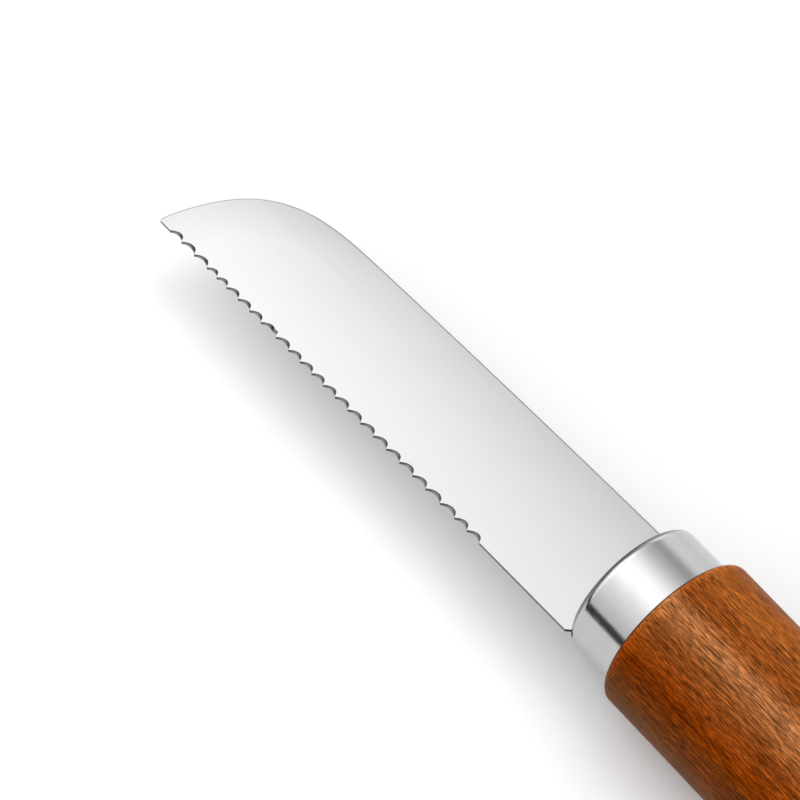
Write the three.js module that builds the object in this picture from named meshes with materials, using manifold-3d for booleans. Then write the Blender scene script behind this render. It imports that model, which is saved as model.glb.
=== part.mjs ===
// A small serrated kitchen knife: a ground steel blade whose tang is bedded in a turned wooden handle,
// behind a drawn steel ferrule. Millimetres, +Z up. The knife lies on a table along X: its point is
// at -X, its butt at +X, its spine faces +Y and the side that the teeth are ground from faces up.
// The pieces are drawn from the ferrule's front face (X = 0) and the handle's axis (Y = Z = 0).

import * as THREE from 'three';
import { mergeVertices } from 'three/addons/utils/BufferGeometryUtils.js';
import Module from 'manifold-3d';

// Blade
const bladeLength = 89;
const bladeHang = 1.48; // degrees that the blade points down from the handle's axis
const spineRise = 8.66; // spine above the axis, at the heel
const spineFall = 0.72; // how much nearer the spine comes to the edge before the nose
const edgeDrop = 11.26; // cutting edge below the axis, at the heel
const noseLength = 26; // stretch over which the spine turns down to the point
const pointAngle = 81; // degrees between the edge and the nose at the point
const pointPull = 18.5; // how far the nose keeps its direction at the point
const spinePull = 10.9; // how far the nose keeps the direction of the spine
const sheetThickness = 1.2; // spine and tang
const edgeThickness = 0.6; // edge, after the sides are ground
const heelChamfer = 1.1;

// Teeth: scallops ground from one side, so they are deeper there than on the back
const plainPoint = 1.7; // plain edge in front of the first scallop
const plainHeel = 17.2; // least plain edge between the last scallop and the ferrule
const toothPitch = 2.767;
const toothLand = 0.08; // width that is left on each tooth
const scallopDepth = 0.86; // on the ground side
const scallopBackDepth = 0.36; // on the back
const scallopFlank = 0.7; // how far the flanks reach in from the teeth
const scallopLean = 0.3; // how far a scallop leans to the heel on the ground side

// Tang
const tangLength = 68; // behind the blade's neck
const tangRootWidth = 9;
const tangTipWidth = 5;
const tangParallel = 18; // parallel stretch behind the neck
const notchRadius = 1; // keying notches on both edges
const notchStart = 26; // from the neck to the first pair
const notchPitch = 12;

// Ferrule: a cup drawn from sheet, with a slot for the blade's neck
const ferruleDiameter = 22;
const ferruleLength = 8.78;
const ferruleWall = 0.9;
const ferruleRimRadius = 1.5;

// Handle
const handleLength = 105; // from its shoulder to its butt
const handleStep = 1.6; // how far the shoulder stands proud of the ferrule
const handleFrontRound = 1.2;
const handleWaist = 0.1; // how much slimmer the grip is than the shoulder
const waistLength = 18;
const buttLength = 10; // domed end
const beddingWall = 0.6; // least bedding round the tang's corners
const boreSlack = 2; // bore depth past the tang
const drillAngle = 118; // degrees, at the bottom of the bore

// Clearances
const seatGap = 0.1; // between faces that sit on each other
const slotGap = 0.15; // round the blade's neck in the ferrule
const spigotGap = 0.2; // round the handle's spigot in the ferrule
const beddingGap = 0.1; // round the bedding, and round the tang in it

// Fineness of the round forms
const roundSides = 40; // a multiple of 4, so that a flat side lies on the table
const arcSteps = 5;
const buttSteps = 8;
const spineSteps = 4;
const outlineSteps = 20;
const waveSteps = 12;
const notchSides = 24;
const cutMargin = 1; // how far a cut runs past the material
const fineMargin = 0.02; // the same for a cut that has to end close to the material

// Sizes that follow from those above
const ferruleRadius = ferruleDiameter / 2;
const rimCentre = ferruleRadius - ferruleRimRadius;
const spigotRadius = ferruleRadius - ferruleWall - spigotGap;
const spigotFront = ferruleWall + spigotGap;
const neckEnd = spigotFront - seatGap;
const tangEnd = neckEnd + tangLength;
const shoulder = ferruleLength + seatGap;
const shoulderRadius = ferruleRadius + handleStep;
const gripRadius = shoulderRadius - handleWaist;
const butt = shoulder + handleLength;
const boreRadius = Math.hypot(tangRootWidth / 2, sheetThickness / 2) + beddingWall + beddingGap;
const boreEnd = tangEnd + boreSlack;
const groundSlope = (sheetThickness - edgeThickness) / 2 / (spineRise + edgeDrop);
const hangSlope = Math.tan(THREE.MathUtils.degToRad(bladeHang));

const wasm = await Module();
wasm.setup();

// Turns a three.js geometry into a solid that can be cut and joined.
function solidOf(geometry) {
  geometry.deleteAttribute('normal');
  geometry.deleteAttribute('uv');
  const closed = mergeVertices(geometry);
  return new wasm.Manifold(new wasm.Mesh({
    numProp: 3,
    vertProperties: new Float32Array(closed.attributes.position.array),
    triVerts: new Uint32Array(closed.index.array),
  }));
}

// Turns a solid back into a geometry with flat facets.
function geometryOf(solid) {
  const mesh = solid.getMesh();
  const geometry = new THREE.BufferGeometry();
  geometry.setAttribute('position', new THREE.BufferAttribute(mesh.vertProperties, 3));
  geometry.setIndex(new THREE.BufferAttribute(mesh.triVerts, 1));
  geometry.computeVertexNormals();
  return geometry;
}

// A flat plate of the given outline, with its middle plane at Z = 0. steps divides each curve.
function plate(outline, thickness, steps) {
  const options = { depth: thickness, bevelEnabled: false, curveSegments: steps };
  return new THREE.ExtrudeGeometry(outline, options).translate(0, 0, -thickness / 2);
}

// A piece turned about the X axis, from points (radius, X) that start and end on the axis.
function turned(profile) {
  const halfSide = Math.PI / roundSides;
  return new THREE.LatheGeometry(profile, roundSides, halfSide).rotateZ(-Math.PI / 2);
}

// Points (radius, X) of a quarter round from one angle to another, in radians from the radial direction.
function quarterRound(radius, x, round, from, to) {
  return new THREE.EllipseCurve(radius, x, round, round, from, to, to < from).getPoints(arcSteps);
}

// Adds the tang to an outline, from the lower corner of its root to the upper one. grow widens it.
function traceTang(outline, grow) {
  const rootHalf = tangRootWidth / 2 + grow;
  const tipHalf = tangTipWidth / 2 + grow;
  outline.lineTo(neckEnd, -rootHalf);
  outline.lineTo(neckEnd + tangParallel, -rootHalf);
  outline.lineTo(tangEnd - tangTipWidth / 2, -tipHalf);
  outline.absarc(tangEnd - tangTipWidth / 2, 0, tipHalf, -Math.PI / 2, Math.PI / 2, false);
  outline.lineTo(neckEnd + tangParallel, rootHalf);
  outline.lineTo(neckEnd, rootHalf);
}

// Half the tang's width at a distance behind the neck.
function tangHalfWidth(distance) {
  const taper = (tangRootWidth - tangTipWidth) / 2 / (tangLength - tangParallel - tangTipWidth / 2);
  return tangRootWidth / 2 - Math.max(0, distance - tangParallel) * taper;
}

// Cuts the keying notches in both edges of a tang. shrink makes them smaller.
function cutNotches(tang, shrink) {
  const radius = notchRadius - shrink;
  let keyed = tang;
  for (let distance = notchStart; distance < tangLength - tangTipWidth; distance += notchPitch) {
    for (const side of [-1, 1]) {
      const cutter = new THREE.CylinderGeometry(radius, radius, sheetThickness + cutMargin, notchSides);
      cutter.rotateX(Math.PI / 2);
      cutter.translate(neckEnd + distance, side * tangHalfWidth(distance), 0);
      keyed = keyed.subtract(solidOf(cutter));
    }
  }
  return keyed;
}

// Lets a geometry on the blade hang down with it, the more the farther it is from the ferrule.
function hung(geometry) {
  return geometry.applyMatrix4(new THREE.Matrix4().makeShear(hangSlope, 0, 0, 0, 0, 0));
}

// A corner of the blade in front of the ferrule, let down in the same way.
function hungCorner(corner) {
  return new THREE.Vector2(corner.x, corner.y + hangSlope * Math.min(corner.x, 0));
}

// The outline of the blade with its neck and tang, from the point along the edge and back along the spine.
function bladeOutline() {
  const noseStart = new THREE.Vector2(noseLength - bladeLength, spineRise - spineFall);
  const spineMiddle = new THREE.Vector2(noseStart.x / 2, spineRise);
  const point = new THREE.Vector2(-bladeLength, -edgeDrop);
  const alongSpine = noseStart.clone().sub(spineMiddle).setLength(spinePull);
  const noseHandle = noseStart.clone().add(alongSpine);
  const angle = THREE.MathUtils.degToRad(pointAngle);
  const pointHandle = new THREE.Vector2(Math.cos(angle), Math.sin(angle)).multiplyScalar(pointPull).add(point);
  const [hungNose, hungPointHandle, hungPoint] = [noseHandle, pointHandle, point].map(hungCorner);
  const outline = new THREE.Shape();
  outline.moveTo(hungPoint.x, hungPoint.y);
  outline.lineTo(neckEnd - heelChamfer, -edgeDrop);
  outline.lineTo(neckEnd, heelChamfer - edgeDrop);
  traceTang(outline, 0);
  outline.lineTo(neckEnd, spineRise);
  const spine = new THREE.QuadraticBezierCurve(new THREE.Vector2(0, spineRise), spineMiddle, noseStart);
  for (const spot of spine.getPoints(spineSteps).map(hungCorner)) {
    outline.lineTo(spot.x, spot.y);
  }
  outline.bezierCurveTo(
    hungNose.x,
    hungNose.y,
    hungPointHandle.x,
    hungPointHandle.y,
    hungPoint.x,
    hungPoint.y,
  );
  return outline;
}

// What the grinder takes off one side of the blade, so that it thins from the spine to the edge.
function grinding(side) {
  const low = -edgeDrop - cutMargin;
  const high = spineRise + cutMargin;
  const top = sheetThickness / 2 + cutMargin;
  const groundHeight = (y) => edgeThickness / 2 + (y + edgeDrop) * groundSlope;
  const section = new THREE.Shape([
    new THREE.Vector2(low, side * groundHeight(low)),
    new THREE.Vector2(high, side * groundHeight(high)),
    new THREE.Vector2(high, side * top),
    new THREE.Vector2(low, side * top),
  ]);
  const length = neckEnd + bladeLength + cutMargin;
  const geometry = new THREE.ExtrudeGeometry(section, { depth: length, bevelEnabled: false });
  const across = new THREE.Vector3(0, 1, 0);
  const up = new THREE.Vector3(0, 0, 1);
  const along = new THREE.Vector3(1, 0, 0);
  geometry.applyMatrix4(new THREE.Matrix4().makeBasis(across, up, along));
  return hung(geometry.translate(-bladeLength - cutMargin, 0, 0));
}

// What the wheel takes out for one scallop: a wave between two teeth, drawn one unit high and then
// made as deep as it is at each height, leaning to the heel on the ground side.
function scallop(middle) {
  const half = (toothPitch - toothLand) / 2;
  const crown = 4 / 3; // height of the handles that bring the wave's crown to one unit
  const below = -0.5; // under the edge line, outside the blade
  const wave = new THREE.Shape();
  wave.moveTo(-half, below);
  wave.lineTo(half, below);
  wave.lineTo(half, 0);
  wave.bezierCurveTo(half - scallopFlank, crown, scallopFlank - half, crown, -half, 0);
  wave.lineTo(-half, below);
  const groundRise = scallopDepth * groundSlope;
  const geometry = plate(wave, edgeThickness + 2 * (groundRise + fineMargin), waveSteps);
  const position = geometry.attributes.position;
  for (let i = 0; i < position.count; i += 1) {
    const share = position.getZ(i) / edgeThickness + 0.5;
    const depth = THREE.MathUtils.lerp(scallopBackDepth, scallopDepth, share);
    const height = position.getY(i);
    position.setX(i, position.getX(i) + scallopLean * share * height);
    position.setY(i, depth * height);
  }
  return hung(geometry.translate(middle, -edgeDrop, 0));
}

function bladeGeometry() {
  let blade = solidOf(plate(bladeOutline(), sheetThickness, outlineSteps));
  for (const side of [-1, 1]) {
    blade = blade.subtract(solidOf(grinding(side)));
  }
  const count = Math.floor((bladeLength - plainPoint - plainHeel) / toothPitch);
  for (let i = 0; i < count; i += 1) {
    const middle = plainPoint - bladeLength + (i + 0.5) * toothPitch;
    blade = blade.subtract(solidOf(scallop(middle)));
  }
  return geometryOf(cutNotches(blade, 0));
}

function ferruleGeometry() {
  const cup = turned([
    new THREE.Vector2(0, 0),
    ...quarterRound(rimCentre, ferruleRimRadius, ferruleRimRadius, -Math.PI / 2, 0),
    new THREE.Vector2(ferruleRadius, ferruleLength),
    new THREE.Vector2(ferruleRadius - ferruleWall, ferruleLength),
    ...quarterRound(rimCentre, ferruleRimRadius, ferruleRimRadius - ferruleWall, 0, -Math.PI / 2),
    new THREE.Vector2(0, ferruleWall),
  ]);
  const slotWidth = spineRise + edgeDrop + 2 * slotGap;
  const slotDepth = neckEnd + slotGap + cutMargin;
  const slot = new THREE.BoxGeometry(slotDepth, slotWidth, sheetThickness + 2 * slotGap);
  slot.translate(slotDepth / 2 - cutMargin, (spineRise - edgeDrop) / 2, 0);
  return geometryOf(solidOf(cup).subtract(solidOf(slot)));
}

// The drilled hole for the tang, or with a gap the bedding that fills it. from is where it starts.
function drilled(from, gap) {
  const radius = boreRadius - gap;
  const bottom = boreEnd - gap;
  const drillPoint = radius / Math.tan(THREE.MathUtils.degToRad(drillAngle / 2));
  return turned([
    new THREE.Vector2(0, from),
    new THREE.Vector2(radius, from),
    new THREE.Vector2(radius, bottom),
    new THREE.Vector2(0, bottom + drillPoint),
  ]);
}

function handleGeometry() {
  const roundEnd = shoulder + handleFrontRound;
  const waistEnd = roundEnd + waistLength;
  const waist = new THREE.QuadraticBezierCurve(
    new THREE.Vector2(shoulderRadius, roundEnd),
    new THREE.Vector2(gripRadius, (roundEnd + waistEnd) / 2),
    new THREE.Vector2(gripRadius, waistEnd),
  );
  const dome = new THREE.EllipseCurve(0, butt - buttLength, gripRadius, buttLength, 0, Math.PI / 2);
  const spigotRound = ferruleRimRadius - ferruleWall - spigotGap;
  const body = turned([
    new THREE.Vector2(0, spigotFront),
    ...quarterRound(rimCentre, ferruleRimRadius, spigotRound, -Math.PI / 2, 0),
    new THREE.Vector2(spigotRadius, shoulder),
    ...quarterRound(shoulderRadius - handleFrontRound, roundEnd, handleFrontRound, -Math.PI / 2, 0),
    ...waist.getPoints(arcSteps).slice(1),
    ...dome.getPoints(buttSteps).slice(0, -1),
    new THREE.Vector2(0, butt),
  ]);
  return geometryOf(solidOf(body).subtract(solidOf(drilled(spigotFront - cutMargin, 0))));
}

function beddingGeometry() {
  const pocketOutline = new THREE.Shape();
  pocketOutline.moveTo(neckEnd, tangRootWidth / 2 + beddingGap);
  traceTang(pocketOutline, beddingGap);
  const pocketPlate = plate(pocketOutline, sheetThickness + 2 * beddingGap, outlineSteps);
  const pocket = cutNotches(solidOf(pocketPlate), beddingGap);
  return geometryOf(solidOf(drilled(spigotFront, beddingGap)).subtract(pocket));
}

function piece(name, geometry, colour, roughness, metalness) {
  const material = new THREE.MeshStandardMaterial({ color: colour, roughness, metalness });
  const mesh = new THREE.Mesh(geometry, material);
  mesh.name = name;
  return mesh;
}

const knife = new THREE.Group();
knife.add(piece('blade', bladeGeometry(), '#dcdddd', 0.25, 1));
knife.add(piece('ferrule', ferruleGeometry(), '#cfcfce', 0.2, 1));
knife.add(piece('handle', handleGeometry(), '#8b451b', 0.45, 0));
knife.add(piece('tang_cement', beddingGeometry(), '#4a423a', 0.8, 0));

// The origin is under the middle of the knife, on the table that the handle's lowest flat side touches.
const flatSide = shoulderRadius * Math.cos(Math.PI / roundSides);
const pointDrop = edgeDrop + hangSlope * bladeLength;
const middleY = (flatSide - Math.max(flatSide, pointDrop)) / 2;
knife.position.set((bladeLength - butt) / 2, -middleY, flatSide);

export default knife;
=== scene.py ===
"""A small serrated kitchen knife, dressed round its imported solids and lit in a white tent.

The knife lies along X with its point at -X, its spine towards +Y and the ground side of its teeth up.
Sizes in the classes are millimetres. The pieces are drawn from the ferrule's front face, on the handle's
axis, and the datum puts them in the frame, which is in metres.
"""

import logging
import math
from abc import ABC, abstractmethod
from collections.abc import Callable, Iterator, Sequence
from contextlib import contextmanager
from dataclasses import dataclass
from enum import Enum
from typing import ClassVar

import bmesh
import bpy
from mathutils import Matrix, Vector


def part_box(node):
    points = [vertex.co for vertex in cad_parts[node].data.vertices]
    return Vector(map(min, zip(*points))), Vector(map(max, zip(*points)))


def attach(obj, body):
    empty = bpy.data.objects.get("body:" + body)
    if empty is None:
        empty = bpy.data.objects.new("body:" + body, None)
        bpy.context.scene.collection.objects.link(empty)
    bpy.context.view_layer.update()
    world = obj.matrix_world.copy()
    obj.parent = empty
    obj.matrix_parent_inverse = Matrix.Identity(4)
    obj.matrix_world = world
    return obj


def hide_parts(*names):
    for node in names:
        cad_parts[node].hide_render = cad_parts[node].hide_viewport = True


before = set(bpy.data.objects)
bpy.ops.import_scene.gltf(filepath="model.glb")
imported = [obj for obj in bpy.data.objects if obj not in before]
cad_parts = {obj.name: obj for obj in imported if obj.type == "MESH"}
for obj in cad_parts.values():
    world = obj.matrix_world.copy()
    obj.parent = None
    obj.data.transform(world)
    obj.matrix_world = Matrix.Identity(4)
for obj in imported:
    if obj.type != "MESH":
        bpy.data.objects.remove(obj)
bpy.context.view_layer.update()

LOG = logging.getLogger("knife")
MM = 0.001
BODY = "root"

Point = tuple[float, float]
Colour = tuple[float, float, float, float]
Socket = bpy.types.NodeSocket
Tree = bpy.types.NodeTree
Face = bmesh.types.BMFace
Value = float | tuple[float, ...] | str | Socket

# Nearly all of a noise pattern lies between these values
NOISE_SPAN = {"From Min": 0.3, "From Max": 0.7}
# A Mix node has several sockets of each name, so its sockets for colours go by number
MIX_SHARE, MIX_FIRST, MIX_SECOND, MIX_RESULT = 0, 6, 7, 2
# Share of an axis in a face's normal, for one square to it, nearly so, half, somewhat and hardly facing it
SQUARE, NEARLY, HALF, SOMEWHAT, HARDLY = 0.99, 0.9, 0.5, 0.3, 0.1
# Metres within which two places count as one
SAME_PLACE = 1e-6


class Pick(Enum):
    """What a selection in edit mode is made of."""

    VERTS = "VERT"
    EDGES = "EDGE"
    FACES = "FACE"


@dataclass(frozen=True)
class Datum:
    """Where the knife lies in the frame.

    Attributes:
        front: X of the ferrule's front face, in metres.
        middle: Y of the handle's axis, in metres.
        axis: Z of the handle's axis, in metres.
    """

    front: float
    middle: float
    axis: float

    @classmethod
    def of_frame(cls) -> "Datum":
        """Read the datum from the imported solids."""
        low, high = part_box("handle")
        return cls(front=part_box("ferrule")[0].x, middle=(low.y + high.y) / 2, axis=(low.z + high.z) / 2)

    def at(self, x: float, y: float = 0.0, z: float = 0.0) -> Vector:
        """Give a place on the knife in the frame.

        Args:
            x: Millimetres behind the ferrule's front face.
            y: Millimetres from the axis towards the spine.
            z: Millimetres above the axis.

        Returns:
            The place in metres.
        """
        return Vector((self.front + x * MM, self.middle + y * MM, self.axis + z * MM))

    def radius(self, place: Vector) -> float:
        """Say how far a place is from the handle's axis, in millimetres."""
        return math.hypot(place.y - self.middle, place.z - self.axis) / MM


def bezier(handles: Sequence[Point], steps: int) -> list[Point]:
    """Divide a cubic curve into equal steps of its parameter.

    Args:
        handles: Its start, two handles and end.
        steps: How many steps.

    Returns:
        The points from start to end, both included.
    """
    points = []
    for step in range(steps + 1):
        t = step / steps
        weights = ((1 - t) ** 3, 3 * t * (1 - t) ** 2, 3 * t * t * (1 - t), t ** 3)
        x = sum(weight * handle[0] for weight, handle in zip(weights, handles))
        y = sum(weight * handle[1] for weight, handle in zip(weights, handles))
        points.append((x, y))
    return points


def parabola(start: Point, middle: Point, end: Point, steps: int) -> list[Point]:
    """Divide a parabola into equal steps of its parameter.

    Args:
        start: Its start.
        middle: Where the lines that it touches at both ends meet.
        end: Its end.
        steps: How many steps.

    Returns:
        The points from start to end, both included.
    """
    first, last = (
        (point[0] + (middle[0] - point[0]) * 2 / 3, point[1] + (middle[1] - point[1]) * 2 / 3)
        for point in (start, end))
    return bezier([start, first, last, end], steps)


def arc(centre: Point, radii: Point, start: float, end: float, steps: int) -> list[Point]:
    """Divide an elliptic arc into equal steps.

    Args:
        centre: Its centre.
        radii: Its two radii.
        start: Degrees at which it starts.
        end: Degrees at which it ends.
        steps: How many steps.

    Returns:
        The points from start to end, both included.
    """
    points = []
    for step in range(steps + 1):
        angle = math.radians(start + (end - start) * step / steps)
        points.append((centre[0] + radii[0] * math.cos(angle), centre[1] + radii[1] * math.sin(angle)))
    return points


class Bench:
    """A workbench that holds one mesh while the modelling operators shape it.

    Attributes:
        WELD: Metres within which vertices are merged at the end.
        SMOOTH: Degrees up to which two faces shade as one surface.
        POLE: Radius in millimetres with which a turned profile starts or ends on the axis.
        POLE_REACH: Radius in millimetres within which such a ring is drawn together.
        LEVEL_DIGITS: Decimals of a metre to which vertices on one level agree.
        piece: The object that holds the mesh.
    """

    WELD: ClassVar[float] = 0.001 * MM
    SMOOTH: ClassVar[float] = 28.0
    POLE: ClassVar[float] = 0.05
    POLE_REACH: ClassVar[float] = 0.08
    LEVEL_DIGITS: ClassVar[int] = 7

    def __init__(self, name: str, primitive: Callable[..., set[str]], **settings: object) -> None:
        """Add a primitive with nothing else selected, and take its place into its mesh.

        Args:
            name: Name of the piece.
            primitive: The operator that adds it.
            settings: The operator's settings.
        """
        bpy.ops.object.select_all(action="DESELECT")
        primitive(**settings)
        bpy.ops.object.transform_apply(location=True, rotation=True, scale=True)
        self.piece: bpy.types.Object = bpy.context.object
        self.piece.name = name
        self.piece.data.name = name

    @classmethod
    def turned(cls, name: str, profile: Sequence[Point], datum: Datum, sides: int) -> "Bench":
        """Turn a piece: a ring is extruded along the handle's axis and drawn in or out at each step.

        Args:
            name: Name of the piece.
            profile: X and radius at each step, from pole to pole.
            datum: Where the axis lies.
            sides: How many sides the ring has.

        Returns:
            The bench that holds the piece.
        """
        bench = cls(name, bpy.ops.mesh.primitive_circle_add, vertices=sides, radius=profile[0][1] * MM,
                    location=datum.at(profile[0][0]), rotation=(0, math.pi / 2, 0))
        with bench.editing():
            for (x, radius), (next_x, next_radius) in zip(profile, profile[1:]):
                bpy.ops.mesh.extrude_region_move(TRANSFORM_OT_translate={"value": ((next_x - x) * MM, 0, 0)})
                ratio = next_radius / radius
                bpy.ops.transform.resize(value=(1, ratio, ratio), center_override=datum.at(next_x))
            bench.pick(Pick.VERTS, lambda vert: datum.radius(vert.co) < cls.POLE_REACH)
            bpy.ops.mesh.merge(type="COLLAPSE")
            bpy.ops.mesh.select_all(action="SELECT")
            bpy.ops.mesh.normals_make_consistent(inside=False)
        return bench

    @contextmanager
    def editing(self) -> Iterator[None]:
        """Hold the piece in edit mode, all of it selected at first.

        Returns:
            A context that ends in object mode.
        """
        bpy.ops.object.mode_set(mode="EDIT")
        bpy.ops.mesh.select_mode(type=Pick.VERTS.value)
        bpy.ops.mesh.select_all(action="SELECT")
        yield
        bpy.ops.object.mode_set(mode="OBJECT")

    def pick(self, kind: Pick, wanted: Callable[..., bool]) -> None:
        """Select what is wanted and nothing else.

        Args:
            kind: What the selection is made of.
            wanted: Says for each vertex, edge or face whether it is selected.
        """
        bpy.ops.mesh.select_mode(type=kind.value)
        bpy.ops.mesh.select_all(action="DESELECT")
        mesh = bmesh.from_edit_mesh(self.piece.data)
        elements = {Pick.VERTS: mesh.verts, Pick.EDGES: mesh.edges, Pick.FACES: mesh.faces}[kind]
        for element in elements:
            if wanted(element):
                element.select_set(True)
        mesh.select_flush_mode()
        bmesh.update_edit_mesh(self.piece.data)

    def levels(self, wanted: Callable[[Vector], bool]) -> Iterator[float]:
        """Pick the vertices of a region level by level, the lowest in Y first.

        Args:
            wanted: Says for each place whether it is in the region.

        Returns:
            The level's Y, each time with the vertices on that level picked.
        """
        mesh = bmesh.from_edit_mesh(self.piece.data)
        heights = {round(vert.co.y, self.LEVEL_DIGITS) for vert in mesh.verts if wanted(vert.co)}
        for height in sorted(heights):
            self.pick(Pick.VERTS, lambda vert: (
                wanted(vert.co) and round(vert.co.y, self.LEVEL_DIGITS) == height))
            yield height

    def trace(self, line: Sequence[Vector]) -> None:
        """Draw a closed line by extruding one vertex from place to place, and fill it.

        Args:
            line: The places, each once.
        """
        bpy.ops.mesh.merge(type="CENTER")
        bpy.ops.transform.translate(value=line[0])
        for here, there in zip(line, line[1:]):
            bpy.ops.mesh.extrude_region_move(TRANSFORM_OT_translate={"value": there - here})
        bpy.ops.mesh.select_all(action="SELECT")
        bpy.ops.mesh.edge_face_add()

    def cut(self, cutter: "Bench") -> None:
        """Cut another mesh out of this one, and put it away.

        Args:
            cutter: The bench that holds the other mesh.
        """
        self.modify("BOOLEAN", operation="DIFFERENCE", solver="EXACT", object=cutter.piece)
        mesh = cutter.piece.data
        bpy.data.objects.remove(cutter.piece)
        bpy.data.meshes.remove(mesh)

    def take(self) -> None:
        """Select the piece alone and make it the active one."""
        bpy.ops.object.select_all(action="DESELECT")
        bpy.context.view_layer.objects.active = self.piece
        self.piece.select_set(True)

    def modify(self, kind: str, **settings: object) -> None:
        """Add a modifier and apply it.

        Args:
            kind: The modifier's type.
            settings: Its settings.
        """
        self.take()
        modifier = self.piece.modifiers.new(kind.lower(), kind)
        for name, value in settings.items():
            setattr(modifier, name, value)
        bpy.ops.object.modifier_apply(modifier=modifier.name)

    def dress(self, finish: "Finish", wanted: Callable[[Face], bool] | None = None) -> None:
        """Lay a finish on the piece.

        Args:
            finish: The finish.
            wanted: Says for each face whether it gets it, where the finish isn't for all of them.
        """
        self.piece.data.materials.append(finish.make())
        if wanted is None:
            return
        self.piece.active_material_index = len(self.piece.data.materials) - 1
        with self.editing():
            self.pick(Pick.FACES, wanted)
            bpy.ops.object.material_slot_assign()

    def finish(self) -> bpy.types.Object:
        """Weld the mesh, turn its faces outwards and shade it.

        Returns:
            The finished piece.
        """
        self.take()
        with self.editing():
            bpy.ops.mesh.remove_doubles(threshold=self.WELD)
            bpy.ops.mesh.normals_make_consistent(inside=False)
        bpy.ops.object.shade_smooth_by_angle(angle=math.radians(self.SMOOTH))
        self.modify("WEIGHTED_NORMAL", keep_sharp=True)
        return self.piece


def linear(colour: str) -> Colour:
    """Turn an sRGB colour into the linear one that the shaders take.

    Args:
        colour: Six hex digits after a hash.

    Returns:
        Red, green, blue and a full alpha.
    """
    channels = []
    for start in (1, 3, 5):
        share = int(colour[start:start + 2], 16) / 255
        channels.append(share / 12.92 if share <= 0.04045 else ((share + 0.055) / 1.055) ** 2.4)
    return (channels[0], channels[1], channels[2], 1.0)


def grey(bright: float) -> Colour:
    """Give the linear grey of a brightness."""
    return (bright, bright, bright, 1.0)


def add_node(tree: Tree, kind: str, settings: dict[str, object],
             inputs: dict[str | int, Value]) -> bpy.types.Node:
    """Add a node with its settings, values and links.

    Args:
        tree: The tree that it goes into.
        kind: The node's type, without ShaderNode before it.
        settings: Properties of the node itself.
        inputs: For each input socket a value, or the output socket that feeds it.

    Returns:
        The node.
    """
    node = tree.nodes.new("ShaderNode" + kind)
    for name, value in settings.items():
        setattr(node, name, value)
    for name, value in inputs.items():
        if isinstance(value, Socket):
            tree.links.new(value, node.inputs[name])
        else:
            node.inputs[name].default_value = value
    return node


def paint_ramp(node: bpy.types.Node, stops: Sequence[tuple[float, Colour]]) -> None:
    """Set the stops of a colour ramp.

    Args:
        node: The ramp's node.
        stops: Place and linear colour of each stop, in order.
    """
    elements = node.color_ramp.elements
    while len(elements) < len(stops):
        elements.new(1.0)
    for element, (place, colour) in zip(elements, stops):
        element.position = place
        element.color = colour


class Finish(ABC):
    """A surface as it was made, laid on a piece as a material.

    Attributes:
        name: The material's name.
    """

    name: str

    def make(self) -> bpy.types.Material:
        """Make the material.

        Returns:
            The material.
        """
        material = bpy.data.materials.new(self.name)
        material.use_nodes = True
        tree = material.node_tree
        tree.nodes.clear()
        place = add_node(tree, "TexCoord", {}, {}).outputs["Object"]
        shader = self.shade(tree, place)
        add_node(tree, "OutputMaterial", {}, {"Surface": shader})
        return material

    @abstractmethod
    def shade(self, tree: Tree, place: Socket) -> Socket:
        """Build the surface's nodes.

        Args:
            tree: The material's tree.
            place: The place on the piece, in metres.

        Returns:
            The shader's output.
        """

    def noise(self, tree: Tree, place: Socket, size: Point, detail: float, roughness: float = 0.6) -> Socket:
        """Make noise of a real size.

        Args:
            tree: The material's tree.
            place: The place on the piece, in metres.
            size: Millimetres along the knife and across it.
            detail: How many finer layers it has.
            roughness: How strong those layers are.

        Returns:
            The noise, about 0.5 on average.
        """
        along, across = 1 / (size[0] * MM), 1 / (size[1] * MM)
        stretched = add_node(tree, "Mapping", {}, {"Vector": place, "Scale": (along, across, across)})
        pattern = add_node(tree, "TexNoise", {}, {
            "Vector": stretched.outputs["Vector"], "Scale": 1.0, "Detail": detail, "Roughness": roughness})
        return pattern.outputs["Fac"]

    def clouded(self, tree: Tree, place: Socket, size: float, colours: tuple[str, str]) -> Socket:
        """Mix two colours in soft patches.

        Args:
            tree: The material's tree.
            place: The place on the piece, in metres.
            size: Millimetres across a patch.
            colours: The two colours.

        Returns:
            The mixed colour.
        """
        clouds = self.noise(tree, place, (size, size), detail=2.0, roughness=0.5)
        mixed = add_node(tree, "Mix", {"data_type": "RGBA"}, {
            MIX_SHARE: clouds, MIX_FIRST: linear(colours[0]), MIX_SECOND: linear(colours[1])})
        return mixed.outputs[MIX_RESULT]


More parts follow.
